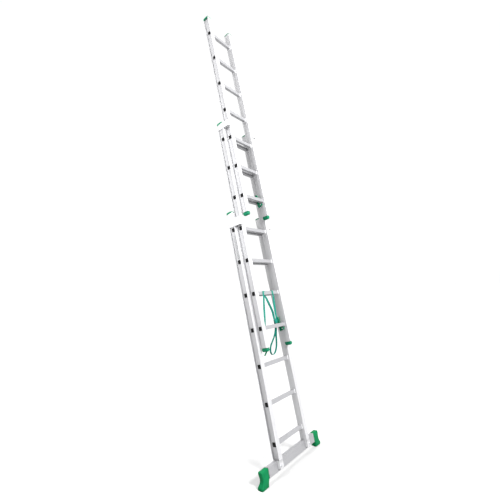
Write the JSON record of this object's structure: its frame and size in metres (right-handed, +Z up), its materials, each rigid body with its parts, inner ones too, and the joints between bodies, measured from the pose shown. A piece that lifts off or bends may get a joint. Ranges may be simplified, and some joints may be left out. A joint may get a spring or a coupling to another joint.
{
  "type": "extension ladder",
  "caption": "Aluminium extension ladder in three sliding sections, leaning, with hollow square rungs, a stabiliser bar on rubber boots, rung locks and safety straps.",
  "frame": {"origin": "on the floor, midway between the two boots, under the middle of the stabiliser bar", "axes": "+Z up, +Y towards the wall that the ladder leans on, +X to the climber's right along the rungs"},
  "size_m": [0.898, 0.894, 3.952],
  "materials": {
    "extruded_aluminium": "satin",
    "rung_aluminium": "satin",
    "bright_aluminium": "satin",
    "zinc_plated_steel": "satin",
    "green_plastic": "matte",
    "green_rubber": "matte",
    "teal_webbing": "woven"
  },
  "bodies": {
    "base_section": {"base_left_stile": "extruded_aluminium", "base_right_stile": "extruded_aluminium", "base_rung_1": "rung_aluminium", "base_rung_2": "rung_aluminium", "base_rung_3": "rung_aluminium", "base_rung_4": "rung_aluminium", "base_rung_5": "rung_aluminium", "base_rung_6": "rung_aluminium", "base_rung_7": "rung_aluminium", "base_left_top_cap": "green_plastic", "base_left_guide": "bright_aluminium", "base_right_top_cap": "green_plastic", "base_right_guide": "bright_aluminium", "stabiliser_bar": "extruded_aluminium", "left_bar_bracket": "bright_aluminium", "left_bar_bolt": "zinc_plated_steel", "left_boot": "green_rubber", "right_bar_bracket": "bright_aluminium", "right_bar_bolt": "zinc_plated_steel", "right_boot": "green_rubber"},
    "middle_section": {"middle_left_stile": "extruded_aluminium", "middle_right_stile": "extruded_aluminium", "middle_rung_1": "rung_aluminium", "middle_rung_2": "rung_aluminium", "middle_rung_3": "rung_aluminium", "middle_rung_4": "rung_aluminium", "middle_rung_5": "rung_aluminium", "middle_rung_6": "rung_aluminium", "middle_rung_7": "rung_aluminium", "middle_left_top_cap": "green_plastic", "middle_left_foot": "green_plastic", "middle_left_guide": "bright_aluminium", "middle_right_top_cap": "green_plastic", "middle_right_foot": "green_plastic", "middle_right_guide": "bright_aluminium", "middle_lock_pin": "zinc_plated_steel", "left_safety_strap": "teal_webbing", "right_safety_strap": "teal_webbing", "strap_loop": "teal_webbing"},
    "upper_section": {"upper_left_stile": "extruded_aluminium", "upper_right_stile": "extruded_aluminium", "upper_rung_1": "rung_aluminium", "upper_rung_2": "rung_aluminium", "upper_rung_3": "rung_aluminium", "upper_rung_4": "rung_aluminium", "upper_rung_5": "rung_aluminium", "upper_rung_6": "rung_aluminium", "upper_rung_7": "rung_aluminium", "upper_left_top_cap": "green_plastic", "upper_left_foot": "green_plastic", "upper_right_top_cap": "green_plastic", "upper_right_foot": "green_plastic", "upper_lock_pin": "zinc_plated_steel"},
    "middle_lock": {"middle_rung_lock": "green_plastic"},
    "upper_lock": {"upper_rung_lock": "green_plastic"}
  },
  "joints": [
    {"name": "middle_section_slide", "type": "slide", "parent": "base_section", "child": "middle_section", "axis": [0, 0.2402, 0.9707], "range_m": [-0.84, 0], "deforming": ["strap_loop"]},
    {"name": "upper_section_slide", "type": "slide", "parent": "middle_section", "child": "upper_section", "axis": [0, 0.2402, 0.9707], "range_m": [-1.12, 0]},
    {"name": "middle_lock_hinge", "type": "hinge", "parent": "middle_section", "child": "middle_lock", "pos_m": [0.1455, 0.17509, 1.00941], "axis": [1, 0, 0], "range_deg": [0, 17]},
    {"name": "upper_lock_hinge", "type": "hinge", "parent": "upper_section", "child": "upper_lock", "pos_m": [0.1185, 0.38639, 2.1109], "axis": [1, 0, 0], "range_deg": [0, 17]}
  ]
}
